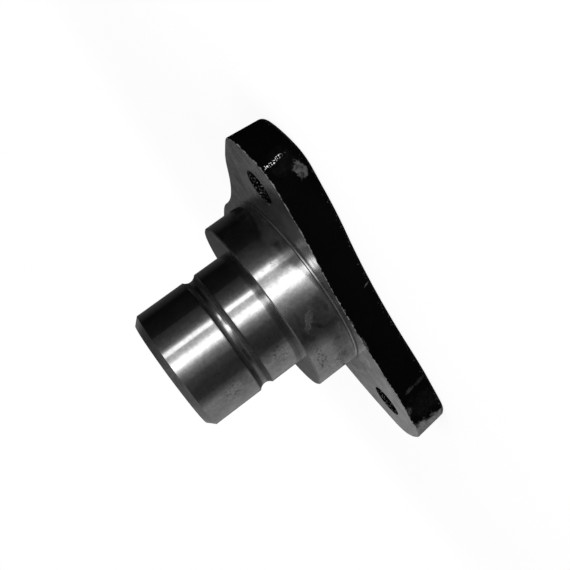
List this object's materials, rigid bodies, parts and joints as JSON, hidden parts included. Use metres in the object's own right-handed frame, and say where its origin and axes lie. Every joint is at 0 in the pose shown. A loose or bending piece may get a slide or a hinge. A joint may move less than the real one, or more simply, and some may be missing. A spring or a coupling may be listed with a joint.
{
  "type": "bearing housing",
  "caption": "Cast bearing housing with a stepped tubular nose, a groove round it, a locating spigot and a lobed bolting flange.",
  "frame": {"origin": "centre of the flange's back face, on the bore's axis", "axes": "+Z along the bore from the flange's back face to the nose, +X through one bolt hole"},
  "size_m": [0.1265, 0.1414, 0.0758],
  "materials": {
    "housing_metal": "cast skin on the flange, bright turned metal on the nose and spigot"
  },
  "bodies": {
    "root": {"bearing_housing": "housing_metal"}
  },
  "joints": []
}
